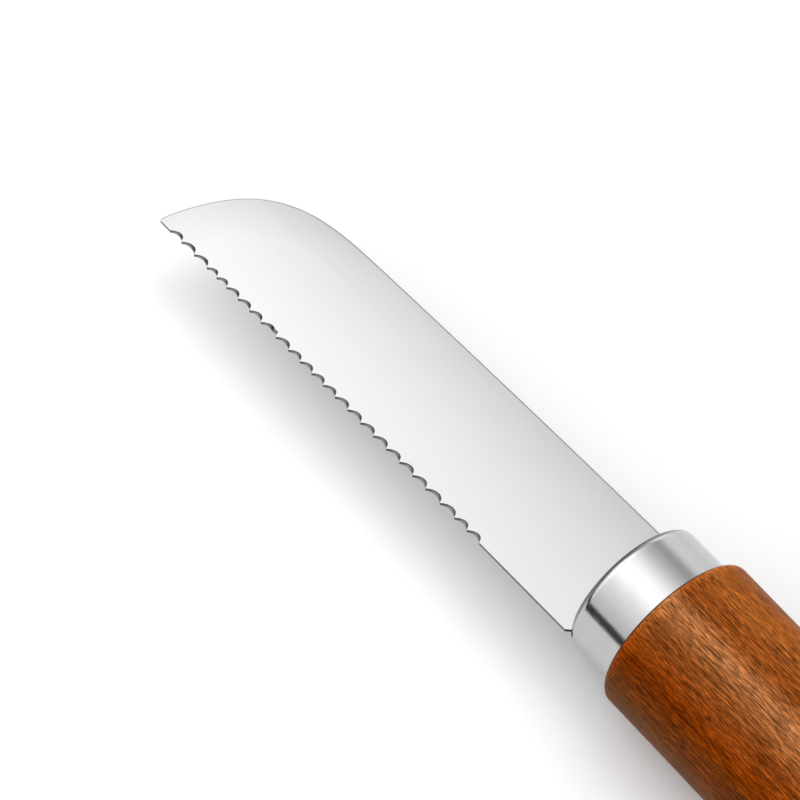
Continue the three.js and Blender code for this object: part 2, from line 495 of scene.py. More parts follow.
@dataclass(frozen=True)
class GroundSteel(Finish):
    """Stainless steel, belt-ground along its length and buffed: a clear satin mirror with faint fine lines.

    Attributes:
        name: The material's name.
        colours: Colour of the steel, and where the buffing left it a little duller.
        roughness: Least and greatest roughness.
        line: Millimetres along a grinding line, and across one.
        line_depth: Millimetres from its top to its bottom.
        cloud: Millimetres across a duller patch.
    """

    name: str
    colours: tuple[str, str]
    roughness: Point
    line: Point
    line_depth: float
    cloud: float

    def shade(self, tree: Tree, place: Socket) -> Socket:
        """Build the surface's nodes.

        Args:
            tree: The material's tree.
            place: The place on the piece, in metres.

        Returns:
            The shader's output.
        """
        lines = self.noise(tree, place, self.line, detail=3.0)
        rough = add_node(tree, "MapRange", {}, {
            "Value": lines, **NOISE_SPAN, "To Min": self.roughness[0], "To Max": self.roughness[1]})
        bump = add_node(tree, "Bump", {}, {
            "Height": lines, "Strength": 1.0, "Distance": self.line_depth * MM})
        shader = add_node(tree, "BsdfPrincipled", {}, {
            "Base Color": self.tone(tree, place), "Metallic": 1.0, "Roughness": rough.outputs["Result"],
            "Normal": bump.outputs["Normal"]})
        return shader.outputs["BSDF"]

    def tone(self, tree: Tree, place: Socket) -> Socket:
        """Mix the steel's colour with that of its duller patches."""
        return self.clouded(tree, place, self.cloud, self.colours)


@dataclass(frozen=True)
class NoseShadedSteel(GroundSteel):
    """Ground steel with painted shade along the nose, darkened there for the dimmer reflection.

    Attributes:
        nose: X and Y in metres of the middle about which the nose turns.
        reach: Millimetres from there to the point, and to the spine.
        dull: Share of the way out at which the painted shade begins, and where it is full.
        nose_shade_depth: How much of the colour the painted shade takes there.
        fade: Millimetres behind that middle between which the painted shade ends.
    """

    nose: Point
    reach: Point
    dull: Point
    nose_shade_depth: float
    fade: Point

    def tone(self, tree: Tree, place: Socket) -> Socket:
        """Darken the steel's colour along the nose, as painted shade.

        Args:
            tree: The material's tree.
            place: The place on the piece, in metres.

        Returns:
            The colour.
        """
        # Painted shade: darker towards the nose's outline, fading out behind the nose.
        scale = (1 / (self.reach[0] * MM), 1 / (self.reach[1] * MM), 0.0)
        turned = add_node(tree, "Mapping", {}, {
            "Vector": place, "Scale": scale,
            "Location": (-self.nose[0] * scale[0], -self.nose[1] * scale[1], 0.0)})
        out = add_node(tree, "VectorMath", {"operation": "LENGTH"}, {0: turned.outputs["Vector"]})
        lost = add_node(tree, "MapRange", {}, {
            "Value": out.outputs["Value"], "From Min": self.dull[0], "From Max": self.dull[1],
            "To Min": 0.0, "To Max": self.nose_shade_depth})
        along = add_node(tree, "SeparateXYZ", {}, {"Vector": place}).outputs["X"]
        fade_start, fade_end = (self.nose[0] + behind * MM for behind in self.fade)
        ahead = add_node(tree, "MapRange", {}, {
            "Value": along, "From Min": fade_start, "From Max": fade_end, "To Min": 1.0, "To Max": 0.0})
        kept = add_node(tree, "Math", {"operation": "MULTIPLY"}, {
            0: lost.outputs["Result"], 1: ahead.outputs["Result"]})
        left = add_node(tree, "Math", {"operation": "SUBTRACT"}, {0: 1.0, 1: kept.outputs["Value"]})
        shaded_tone = add_node(tree, "VectorMath", {"operation": "SCALE"}, {
            0: super().tone(tree, place), "Scale": left.outputs["Value"]})
        return shaded_tone.outputs["Vector"]


@dataclass(frozen=True)
class GroundTeethWithShade(Finish):
    """Steel as a grinding wheel leaves it in a scallop, duller than the sides, with painted shade on it.

    Attributes:
        SHARE: Name of the mesh's attribute that says how far along its scallop a place is.
        name: The material's name.
        tones: Share of the way along a scallop, and its colour there, with painted shade towards the heel.
        row: X in metres of the row's ends, at the point and at the heel.
        drift: How much sooner in a scallop the steel darkens at either end.
        patch: How much sooner or later it darkens from place to place.
        shade_strip: Lowest and highest Z in metres of the strip of painted shade under the ground side.
        shade_strip_tone: Brightness of that strip's top.
        roughness: Least and greatest roughness.
        mark: Millimetres across a mark of the wheel.
    """

    SHARE: ClassVar[str] = "scallop_share"

    name: str
    tones: tuple[tuple[float, str], ...]
    row: Point
    drift: Point
    patch: float
    shade_strip: Point
    shade_strip_tone: float
    roughness: Point
    mark: float

    def shade(self, tree: Tree, place: Socket) -> Socket:
        """Build the surface's nodes.

        Args:
            tree: The material's tree.
            place: The place on the piece, in metres.

        Returns:
            The shader's output.
        """
        parts = add_node(tree, "SeparateXYZ", {}, {"Vector": place}).outputs
        share = add_node(tree, "Attribute", {"attribute_name": self.SHARE}, {})
        marks = self.noise(tree, place, (self.mark, self.mark), detail=2.0, roughness=0.5)
        drift = add_node(tree, "MapRange", {}, {
            "Value": parts["X"], "From Min": self.row[0], "From Max": self.row[1],
            "To Min": self.drift[0], "To Max": self.drift[1]})
        patch = add_node(tree, "MapRange", {}, {
            "Value": marks, **NOISE_SPAN, "To Min": -self.patch, "To Max": self.patch})
        moved = add_node(tree, "Math", {"operation": "ADD"}, {
            0: share.outputs["Fac"], 1: drift.outputs["Result"]})
        patched = add_node(tree, "Math", {"operation": "ADD"}, {
            0: moved.outputs["Value"], 1: patch.outputs["Result"]})
        # Painted shade: pale at the scallop's end towards the point, nearly black at its end towards the
        # heel.
        ramp = add_node(tree, "ValToRGB", {}, {"Fac": patched.outputs["Value"]})
        paint_ramp(ramp, [(step, linear(colour)) for step, colour in self.tones])
        # Painted shade along a strip under the ground side, darkest at its top.
        shade_strip = add_node(tree, "MapRange", {}, {
            "Value": parts["Z"], "From Min": self.shade_strip[0], "From Max": self.shade_strip[1],
            "To Min": 1.0, "To Max": self.shade_strip_tone})
        steel = add_node(tree, "VectorMath", {"operation": "SCALE"}, {
            0: ramp.outputs["Color"], "Scale": shade_strip.outputs["Result"]})
        rough = add_node(tree, "MapRange", {}, {
            "Value": marks, **NOISE_SPAN, "To Min": self.roughness[0], "To Max": self.roughness[1]})
        shader = add_node(tree, "BsdfPrincipled", {}, {
            "Base Color": steel.outputs["Vector"], "Metallic": 1.0, "Roughness": rough.outputs["Result"]})
        return shader.outputs["BSDF"]


@dataclass(frozen=True)
class TurnedHardwood(Finish):
    """Red-brown hardwood, turned, sanded and oiled: banded along the grain, with many fine dark open pores.

    Attributes:
        name: The material's name.
        bands_and_light: Y in the frame, in millimetres, and the colour there: the growth band's, with painted
            highlight over the top of the handle and painted shade down its lower side.
        sway: Millimetres along and across the grain over which the banding wanders.
        sway_reach: How many millimetres they wander.
        fibre: Millimetres along and across a bundle of fibres.
        fibre_tones: Brightness of the darkest and the lightest bundles.
        mottle: Millimetres along and across a paler or darker patch of the figure.
        mottle_tones: Brightness of the darkest and the lightest patches.
        ray: Millimetres along and across a fleck of the wood's rays.
        ray_tones: Brightness of the darkest and the lightest flecks.
        vessel: Millimetres along and across the stretch of wood that holds one pore.
        pore_share: Where in the pattern a pore begins, and where it is deepest.
        pore_tone: Brightness inside a pore.
        pore_depth: Millimetres that a pore lies below the surface.
        front: X in metres at which the handle begins.
        front_light_tones: Millimetres behind it, and the brightness there: painted shadow at the ferrule,
            then a painted highlight along the front edge.
        sheen: Colour that the oiled fibres give to what they reflect.
        index: Refractive index of the oiled surface.
        roughness: Least and greatest roughness of it.
    """

    name: str
    bands_and_light: tuple[tuple[float, str], ...]
    sway: Point
    sway_reach: float
    fibre: Point
    fibre_tones: Point
    mottle: Point
    mottle_tones: Point
    ray: Point
    ray_tones: Point
    vessel: Point
    pore_share: Point
    pore_tone: float
    pore_depth: float
    front: float
    front_light_tones: tuple[Point, ...]
    sheen: str
    index: float
    roughness: Point

    def banded_light_colours(self, tree: Tree, place: Socket) -> Socket:
        """Lay the grain's colour across the handle, with painted highlight on top and painted shade below.

        Args:
            tree: The material's tree.
            place: The place on the piece, in metres.

        Returns:
            Their colour.
        """
        # Painted light: lighter over the top of the handle, where the light falls, and darker down its lower
        # side.
        low, high = self.bands_and_light[0][0], self.bands_and_light[-1][0]
        across = add_node(tree, "SeparateXYZ", {}, {"Vector": place}).outputs["Y"]
        wander = add_node(tree, "MapRange", {}, {
            "Value": self.noise(tree, place, self.sway, detail=2.0), **NOISE_SPAN,
            "To Min": -self.sway_reach * MM, "To Max": self.sway_reach * MM})
        swayed = add_node(tree, "Math", {"operation": "ADD"}, {
            0: across, 1: wander.outputs["Result"]})
        share = add_node(tree, "MapRange", {}, {
            "Value": swayed.outputs["Value"], "From Min": low * MM, "From Max": high * MM})
        ramp = add_node(tree, "ValToRGB", {}, {"Fac": share.outputs["Result"]})
        paint_ramp(ramp, [((y - low) / (high - low), linear(colour)) for y, colour in self.bands_and_light])
        return ramp.outputs["Color"]

    def front_shade_and_highlight(self, tree: Tree, place: Socket) -> Socket:
        """Paint a shadow and a highlight on the front edge of the handle.

        Args:
            tree: The material's tree.
            place: The place on the piece, in metres.

        Returns:
            The brightness.
        """
        # Painted light: dark next to the ferrule as its shadow, then a bright band as a highlight on the
        # edge.
        reach = self.front_light_tones[-1][0]
        most = max(tone for _, tone in self.front_light_tones)
        along = add_node(tree, "SeparateXYZ", {}, {"Vector": place}).outputs["X"]
        share = add_node(tree, "MapRange", {}, {
            "Value": along, "From Min": self.front, "From Max": self.front + reach * MM})
        ramp = add_node(tree, "ValToRGB", {}, {"Fac": share.outputs["Result"]})
        paint_ramp(ramp, [(x / reach, grey(tone / most)) for x, tone in self.front_light_tones])
        bright = add_node(tree, "MapRange", {}, {"Value": ramp.outputs["Color"], "To Max": most})
        return bright.outputs["Result"]

    def shade(self, tree: Tree, place: Socket) -> Socket:
        """Build the surface's nodes.

        Args:
            tree: The material's tree.
            place: The place on the piece, in metres.

        Returns:
            The shader's output.
        """
        fibres = self.noise(tree, place, self.fibre, detail=2.0)
        mottles = self.noise(tree, place, self.mottle, detail=1.0)
        rays = self.noise(tree, place, self.ray, detail=1.0)
        pores = add_node(tree, "MapRange", {"interpolation_type": "SMOOTHSTEP"}, {
            "Value": self.noise(tree, place, self.vessel, detail=0.0), "From Min": self.pore_share[0],
            "From Max": self.pore_share[1], "To Min": 1.0, "To Max": self.pore_tone})
        tones = [pores.outputs["Result"], self.front_shade_and_highlight(tree, place)]
        figures = ((fibres, self.fibre_tones), (mottles, self.mottle_tones), (rays, self.ray_tones))
        for figure, (dark, light) in figures:
            tones.append(add_node(tree, "MapRange", {}, {
                "Value": figure, **NOISE_SPAN, "To Min": dark, "To Max": light}).outputs["Result"])
        wood = self.banded_light_colours(tree, place)
        for tone in tones:
            wood = add_node(tree, "VectorMath", {"operation": "SCALE"}, {
                0: wood, "Scale": tone}).outputs["Vector"]
        rough = add_node(tree, "MapRange", {}, {
            "Value": fibres, **NOISE_SPAN, "To Min": self.roughness[0], "To Max": self.roughness[1]})
        bump = add_node(tree, "Bump", {}, {
            "Height": pores.outputs["Result"], "Strength": 1.0, "Distance": self.pore_depth * MM})
        shader = add_node(tree, "BsdfPrincipled", {}, {
            "Base Color": wood, "Roughness": rough.outputs["Result"], "IOR": self.index,
            "Specular Tint": linear(self.sheen), "Normal": bump.outputs["Normal"]})
        return shader.outputs["BSDF"]


@dataclass(frozen=True)
class SpeckledMatte(Finish):
    """A dull surface with fine specks: the set bedding resin, or the studio's paper.

    Attributes:
        name: The material's name.
        colours: Its main colour, and that of the specks.
        speck: Millimetres across a speck.
        roughness: Its roughness.
    """

    name: str
    colours: tuple[str, str]
    speck: float
    roughness: float

    def shade(self, tree: Tree, place: Socket) -> Socket:
        """Build the surface's nodes.

        Args:
            tree: The material's tree.
            place: The place on the piece, in metres.

        Returns:
            The shader's output.
        """
        tone = self.clouded(tree, place, self.speck, self.colours)
        shader = add_node(tree, "BsdfPrincipled", {}, {
            "Base Color": tone, "Roughness": self.roughness})
        return shader.outputs["BSDF"]


@dataclass(frozen=True)
class Scallops:
    """The ground teeth: scallops that are deeper on the ground side and lean to the heel there.

    The wheel was moved on by hand, in runs of like moves, so the tooth tips aren't evenly spaced. One
    scallop was ground twice, which left a tip between its two grinds that lies back from the edge.

    Attributes:
        HANDLE_REACH: How much farther out than a cubic curve's middle its two handles lie.
        start: Millimetres from the blade's point to the row.
        moves: How many like moves of the wheel followed one another, and the millimetres of each.
        sunk: Number of the tip between the two grinds, and how far it lies back.
        pitch: Millimetres from tip to tip on most of the row, at which a scallop has its full depth.
        narrowing: Power of its width with which a narrower scallop is shallower.
        land: Millimetres left on each tooth.
        depth: Millimetres of depth on the ground side.
        back_depth: Millimetres of depth on the back.
        flank: Millimetres that the flanks reach in from the teeth.
        lean: How far a scallop leans to the heel on the ground side.
        steps: Steps along one scallop, an even number.
    """

    HANDLE_REACH: ClassVar[float] = 4 / 3

    start: float = 2.56
    moves: tuple[tuple[int, float], ...] = (
        (1, 2.67), (2, 2.98), (2, 2.3), (3, 2.65), (1, 2.12), (1, 1.24), (1, 2.9), (4, 2.6), (7, 2.82),
        (2, 3.06), (2, 2.61))
    sunk: tuple[int, float] = (9, 0.46)
    pitch: float = 2.767
    narrowing: float = 0.35
    land: float = 0.08
    depth: float = 0.86
    back_depth: float = 0.55
    flank: float = 0.69
    lean: float = 0.3
    steps: int = 14

    @property
    def tips(self) -> list[float]:
        """Millimetres from the blade's point to each tooth tip, and to both ends of the row."""
        places = [self.start]
        for count, move in self.moves:
            places += [places[-1] + move * number for number in range(1, count + 1)]
        return places

    def row(self) -> list[Point]:
        """Draw the row of scallops as it is on the back.

        Returns:
            Places from the point, and how far the edge is ground back there.
        """
        points = []
        tips = self.tips
        backs = [self.sunk[1] if number == self.sunk[0] else 0.0 for number in range(len(tips))]
        for start, end, back, next_back in zip(tips, tips[1:], backs, backs[1:]):
            first, last = start + self.land / 2, end - self.land / 2
            depth = self.back_depth * ((end - start) / self.pitch) ** self.narrowing
            crown = depth * self.HANDLE_REACH
            points += bezier([(first, back), (first + self.flank, crown), (last - self.flank, crown),
                              (last, next_back)], self.steps)
        return points

    def share(self, x: float) -> float:
        """Say how far along its scallop a place is.

        Args:
            x: Millimetres from the point.

        Returns:
            From 0 at the tip towards the point to 1 at the tip towards the heel.
        """
        tips = self.tips
        for start, end in zip(tips, tips[1:]):
            if start <= x <= end:
                return (x - start) / (end - start)
        return 0.0


@dataclass(frozen=True)
class Blade:
    """The ground blade with its neck and tang.

    Attributes:
        CROWN_SCALE: Brings the curve of the crown to one at its greatest.
        HAIR: Millimetres by which a face has to lie clear of the neck's end.
        DEEPEST: How many times the scallops' depth the deepest of them stays under.
        datum: Where the knife lies.
        finish: The steel's surface on the sides.
        outline_finish: Its surface on the stamped outline: spine, nose and plain edge.
        teeth_finish: Its surface in the scallops.
        corner_finish: Its surface on the heel's corner, painted nearly black as shade.
        length: Millimetres from the ferrule to the point.
        hang: Degrees that the blade points down from the handle's axis.
        spine_rise: Spine above the axis, at the heel.
        spine_fall: How much nearer the spine comes to the edge before the nose.
        spine_steps: Steps along the spine.
        edge_drop: Cutting edge below the axis.
        nose_length: Stretch over which the spine turns down to the point.
        nose_steps: Steps along the nose.
        point_angle: Degrees between the edge and the nose at the point.
        point_pull: How far the nose keeps its direction at the point.
        spine_pull: How far the nose keeps the direction of the spine.
        fullness: How much fuller the nose is near the point.
        fullness_reach: Distances from the point over which that grows, and over which it fades.
        sheet: Thickness of the spine.
        edge: Thickness of the edge.
        crown: How much the buffing wheel rounded the sides, at their fullest.
        side_lines: Strips into which the sides are cut to round them.
        ease: Rounding of the spine's corners.
        ease_steps: Steps round a corner.
        blunting: Rounding of the point.
        point_reach: Stretch behind the point whose upper corner is eased all round.
        heel_chamfer: Chamfer of the heel's corner.
        neck: How far the neck reaches into the ferrule.
        tang: Length of the tang behind the neck.
        tang_parallel: Its parallel stretch.
        tang_widths: Its widths at the root and at the tip.
        tang_round: Degrees through which its tip is rounded, and the steps.
        notch_radius: Radius of the keying notches.
        notch_places: Their distances behind the neck.
        notch_sides: Sides of a notch's cutter.
        teeth: The scallops.
    """

    CROWN_SCALE: ClassVar[float] = 2.6
    HAIR: ClassVar[float] = 0.05
    DEEPEST: ClassVar[float] = 1.5

    datum: Datum
    finish: Finish
    outline_finish: Finish
    teeth_finish: Finish
    corner_finish: Finish
    length: float = 89.15
    hang: float = 1.48
    spine_rise: float = 8.57
    spine_fall: float = 0.77
    spine_steps: int = 16
    edge_drop: float = 11.26
    nose_length: float = 26.0
    nose_steps: int = 72
    point_angle: float = 78.3
    point_pull: float = 18.2
    spine_pull: float = 11.9
    fullness: float = 0.3
    fullness_reach: Point = (0.7, 6.0)
    sheet: float = 1.2
    edge: float = 0.6
    crown: float = 0.23
    side_lines: int = 9
    ease: float = 0.36
    ease_steps: int = 4
    blunting: float = 0.3
    point_reach: float = 1.5
    heel_chamfer: float = 1.1
    neck: float = 1.0
    tang: float = 68.0
    tang_parallel: float = 18.0
    tang_widths: Point = (9.0, 5.0)
    tang_round: tuple[float, int] = (80.0, 6)
    notch_radius: float = 1.0
    notch_places: tuple[float, ...] = (26.0, 38.0, 50.0, 62.0)
    notch_sides: int = 24
    teeth: Scallops = Scallops()

    @property
    def depth(self) -> float:
        """Millimetres from the edge to the spine, at the heel."""
        return self.spine_rise + self.edge_drop

    @property
    def row_ends(self) -> Point:
        """X in metres of the ends of the row of teeth, at the point and at the heel."""
        tips = self.teeth.tips
        return self.datum.at(tips[0] - self.length).x, self.datum.at(tips[-1] - self.length).x

    def outline(self) -> list[Point]:
        """Draw the blade's outline on its back, from the point along the edge and back along the spine.

        Returns:
            The corners, each once.
        """
        low = -self.edge_drop
        root = self.tang_widths[0] / 2
        line = [(-self.length, low)]
        line += [(x - self.length, low + depth) for x, depth in self.teeth.row()]
        line += [(self.neck - self.heel_chamfer, low), (self.neck, low + self.heel_chamfer)]
        line += [(self.neck, -root), (self.neck, root), (self.neck, self.spine_rise)]
        nose_start = (self.nose_length - self.length, self.spine_rise - self.spine_fall)
        middle = (nose_start[0] / 2, self.spine_rise)
        line += parabola((0, self.spine_rise), middle, nose_start, self.spine_steps)
        return line + self.nose(nose_start, middle)[1:-1]

    def nose(self, start: Point, behind: Point) -> list[Point]:
        """Draw the nose.

        Args:
            start: Where the spine ends.
            behind: A point from which the spine runs straight to its end.

        Returns:
            The points from the spine to the blade's point, both included.
        """
        low = -self.edge_drop
        slope = Vector((start[0] - behind[0], start[1] - behind[1])).normalized() * self.spine_pull
        angle = math.radians(self.point_angle)
        lift = (math.cos(angle) * self.point_pull, math.sin(angle) * self.point_pull)
        curve = bezier([start, (start[0] + slope.x, start[1] + slope.y),
                        (lift[0] - self.length, low + lift[1]), (-self.length, low)], self.nose_steps)
        grow, fade = self.fullness_reach
        points = []
        for x, y in curve:
            far = math.hypot(x + self.length, y - low)
            points.append((x - self.fullness * (1 - math.exp(-far / grow)) * math.exp(-far / fade), y))
        return points

    def rise(self, y: float) -> float:
        """Say how far a side stands out from where the edge's side would run on.

        Args:
            y: Millimetres from the axis towards the spine.

        Returns:
            Millimetres.
        """
        share = min(max((y + self.edge_drop) / self.depth, 0), 1)
        return share * (self.sheet - self.edge) / 2 + self.CROWN_SCALE * (share - share ** 3) * self.crown

    def build(self) -> bpy.types.Object:
        """Model the blade.

        Returns:
            The finished piece.
        """
        bench = Bench("blade_ground", bpy.ops.mesh.primitive_plane_add, size=MM)
        back = [self.datum.at(x, y, -self.edge / 2) for x, y in self.outline()]
        with bench.editing():
            bench.trace(back)
            bpy.ops.mesh.extrude_region_move(TRANSFORM_OT_translate={"value": (0, 0, self.edge * MM)})
            bpy.ops.mesh.select_all(action="SELECT")
            bpy.ops.mesh.normals_make_consistent(inside=False)
            self.grind_teeth(bench)
            self.grind_sides(bench)
            self.ease_corners(bench)
        self.let_down(bench)
        with bench.editing():
            self.draw_tang(bench)
        bench.cut(self.notches())
        self.dress(bench)
        return bench.finish()

    def let_down(self, bench: Bench) -> None:
        """Let the blade down towards its point, the more the farther it is from the ferrule.

        The mesh takes the slant directly, because the operator for it needs a window.

        Args:
            bench: The bench with the blade, in object mode.
        """
        slope = math.tan(math.radians(self.hang))
        bench.piece.data.transform(Matrix((
            (1, 0, 0, 0), (slope, 1, 0, -slope * self.datum.front), (0, 0, 1, 0), (0, 0, 0, 1))))

    def dress(self, bench: Bench) -> None:
        """Lay the finishes on the sides, the stamped outline, the scallops and the heel's corner.

        Args:
            bench: The bench with the blade, in object mode.
        """
        end = self.datum.at(self.neck - self.HAIR).x
        first, last = self.row_ends
        shares = bench.piece.data.attributes.new(GroundTeethWithShade.SHARE, "FLOAT", "POINT")
        for vert, share in zip(bench.piece.data.vertices, shares.data):
            share.value = self.teeth.share((vert.co.x - self.datum.front) / MM + self.length)
        bench.dress(self.finish)
        bench.dress(self.outline_finish, lambda face: (
            abs(face.normal.z) < NEARLY and face.calc_center_median().x < end))
        bench.dress(self.teeth_finish, lambda face: (
            abs(face.normal.z) < NEARLY and face.normal.y < HARDLY
            and first < face.calc_center_median().x < last))
        # The heel's corner gets painted shade.
        bench.dress(self.corner_finish, lambda face: (
            face.normal.x > SOMEWHAT and face.normal.y < -SOMEWHAT
            and last < face.calc_center_median().x < end))

    def grind_teeth(self, bench: Bench) -> None:
        """Deepen the scallops on the ground side, and lean them to the heel.

        Args:
            bench: The bench with the blade, in edit mode.
        """
        edge = self.datum.at(0, -self.edge_drop)
        deepest = self.DEEPEST * self.teeth.depth * MM
        first, last = self.row_ends

        def on_teeth(place: Vector) -> bool:
            """Say whether a place is on the ground side of a scallop."""
            ground_back = SAME_PLACE < place.y - edge.y < deepest
            return place.z > self.datum.axis and ground_back and first < place.x < last

        bench.pick(Pick.VERTS, lambda vert: on_teeth(vert.co))
        ratio = self.teeth.depth / self.teeth.back_depth
        bpy.ops.transform.resize(value=(1, ratio, 1), center_override=edge)
        for level in bench.levels(on_teeth):
            bpy.ops.transform.translate(value=((level - edge.y) / self.teeth.depth * self.teeth.lean, 0, 0))

    def grind_sides(self, bench: Bench) -> None:
        """Thicken the blade from its edge to its spine, with the slight crown of a buffed side.

        Args:
            bench: The bench with the blade, in edit mode.
        """
        low, plain = self.teeth.depth - self.edge_drop, self.depth - self.teeth.depth
        for number in range(1, self.side_lines):
            bench.pick(Pick.FACES, lambda face: abs(face.normal.z) > SQUARE)
            bpy.ops.mesh.bisect(
                plane_co=self.datum.at(0, low + plain * number / self.side_lines), plane_no=(0, 1, 0))
        for side in (-1, 1):
            for level in bench.levels(lambda place: (place.z - self.datum.axis) * side > 0):
                rise = self.rise((level - self.datum.middle) / MM)
                bpy.ops.transform.translate(value=(0, 0, side * rise * MM))

    def ease_corners(self, bench: Bench) -> None:
        """Round the point and the corners of the spine and nose.

        Args:
            bench: The bench with the blade, in edit mode.
        """
        tip = self.datum.at(-self.length, -self.edge_drop)
        near = tip.x + self.point_reach * MM
        bench.pick(Pick.EDGES, lambda edge: all(
            (vert.co.xy - tip.xy).length < SAME_PLACE for vert in edge.verts))
        bpy.ops.mesh.bevel(offset=self.blunting * MM, segments=self.ease_steps, affect="EDGES")

        def on_spine(edge: bmesh.types.BMEdge) -> bool:
            """Say whether an edge is a corner of the spine or the nose.

            Args:
                edge: The edge.

            Returns:
                Whether one of its faces is a side of the blade and the other such a wall.
            """
            if len(edge.link_faces) != 2:
                return False
            flat = [abs(face.normal.z) > NEARLY for face in edge.link_faces]
            wall = edge.link_faces[0 if flat[1] else 1]
            at_point = wall.calc_center_median().x < near and edge.verts[0].co.z > self.datum.axis
            return flat[0] != flat[1] and (wall.normal.y > HARDLY or (at_point and wall.normal.x < -HALF))

        bench.pick(Pick.EDGES, on_spine)
        bpy.ops.mesh.bevel(offset=self.ease * MM, segments=self.ease_steps, affect="EDGES")

    def draw_tang(self, bench: Bench) -> None:
        """Draw the tang out of the middle of the neck's back face.

        Args:
            bench: The bench with the blade, in edit mode.
        """
        root, tip = self.tang_widths
        middle = self.datum.at(self.neck)
        bench.pick(Pick.FACES, lambda face: (
            face.normal.x > SQUARE and abs(face.calc_center_median().x - middle.x) < SAME_PLACE
            and abs(face.calc_center_median().y - middle.y) < root / 2 * MM))
        straight = self.tang - tip / 2
        degrees, steps = self.tang_round
        tip_arc = arc((0, 0), (tip / 2, tip / 2), 0, degrees, steps)[1:]
        widths = [(self.tang_parallel, root), (straight, tip)]
        widths += [(straight + x, 2 * half) for half, x in tip_arc]
        x, width = 0.0, root
        for next_x, next_width in widths:
            bpy.ops.mesh.extrude_region_move(TRANSFORM_OT_translate={"value": ((next_x - x) * MM, 0, 0)})
            bpy.ops.transform.resize(value=(1, next_width / width, 1), center_override=self.datum.at(next_x))
            x, width = next_x, next_width

    def notches(self) -> Bench:
        """Make the cutters of the keying notches, in both edges of the tang.

        Returns:
            The bench that holds them.
        """
        root, tip = self.tang_widths
        taper = (root - tip) / 2 / (self.tang - self.tang_parallel - tip / 2)
        cutters = []
        for place in self.notch_places:
            half = root / 2 - max(0, place - self.tang_parallel) * taper
            for side in (-1, 1):
                cutters.append(Bench("notch", bpy.ops.mesh.primitive_cylinder_add, vertices=self.notch_sides,
                                     radius=self.notch_radius * MM, depth=2 * self.sheet * MM,
                                     location=self.datum.at(self.neck + place, side * half)))
        for cutter in cutters:
            cutter.piece.select_set(True)
        bpy.ops.object.join()
        cutters[-1].piece = bpy.context.object
        return cutters[-1]


@dataclass(frozen=True)
class Ferrule:
    """The drawn steel cup between blade and handle, with a slot for the blade's neck.

    Attributes:
        datum: Where the knife lies.
        finish: The steel's surface.
        rim_shade_finishes: The rim's surfaces, darkened as painted shade: nearest the side first.
        diameter: Millimetres across.
        length: From its front face to its back edge.
        wall: Thickness of its sheet.
        rim: Radius of its front rim, outside.
        edge_round: Rounding of its back edge.
        slot: Lowest, highest and half-height of the slot, from the axis.
        slot_depth: How deep the slot is.
        rim_facing: How far forwards each of the rim's surfaces begins to face.
        front_facing: How far forwards the buffed front begins to face.
        sides: Sides round it.
        steps: Steps round the rim outside, round it inside, and round the back edge's corners.
    """

    datum: Datum
    finish: Finish
    rim_shade_finishes: tuple[Finish, Finish]
    diameter: float = 22.0
    length: float = 8.78
    wall: float = 0.9
    rim: float = 1.5
    edge_round: float = 0.15
    slot: tuple[float, float, float] = (-11.41, 8.81, 0.75)
    slot_depth: float = 1.15
    rim_facing: Point = (0.32, 0.52)
    front_facing: float = 0.93
    sides: int = 160
    steps: tuple[int, int, int] = (14, 8, 3)

    def build(self) -> bpy.types.Object:
        """Model the ferrule.

        Returns:
            The finished piece.
        """
        bench = Bench.turned("ferrule_drawn", self.profile(), self.datum, self.sides)
        bench.cut(self.slot_cutter())
        bench.dress(self.finish)
        rim_end = self.datum.at(self.rim).x
        # The rim's forward-facing band gets painted shade, in two steps.
        for finish, facing in zip(self.rim_shade_finishes, self.rim_facing):
            bench.dress(finish, lambda face: (
                self.front_facing > -face.normal.x > facing and face.calc_center_median().x < rim_end))
        return bench.finish()

    def profile(self) -> list[Point]:
        """Draw half of the cup's section.

        Returns:
            X and radius, from the middle of the front face over the outside to the middle of the floor.
        """
        radius = self.diameter / 2
        centre = (self.rim, radius - self.rim)
        inner = self.rim - self.wall
        small = self.edge_round
        outer_steps, inner_steps, edge_steps = self.steps
        back = self.length - small
        line = [(0.0, Bench.POLE)]
        line += arc(centre, (self.rim, self.rim), 180, 90, outer_steps)
        line += arc((back, radius - small), (small, small), 90, 0, edge_steps)
        line += arc((back, radius - self.wall + small), (small, small), 0, -90, edge_steps)
        line += arc(centre, (inner, inner), 90, 180, inner_steps)
        return line + [(self.wall, Bench.POLE)]

    def slot_cutter(self) -> Bench:
        """Make the cutter of the slot.

        Returns:
            The bench that holds it.
        """
        low, high, half = self.slot
        middle = self.datum.at(0, (low + high) / 2)
        bench = Bench("slot", bpy.ops.mesh.primitive_cube_add, size=2 * half * MM, location=middle)
        stretch = (self.slot_depth / half, (high - low) / 2 / half, 1)
        with bench.editing():
            bpy.ops.transform.resize(value=stretch, center_override=middle)
        return bench


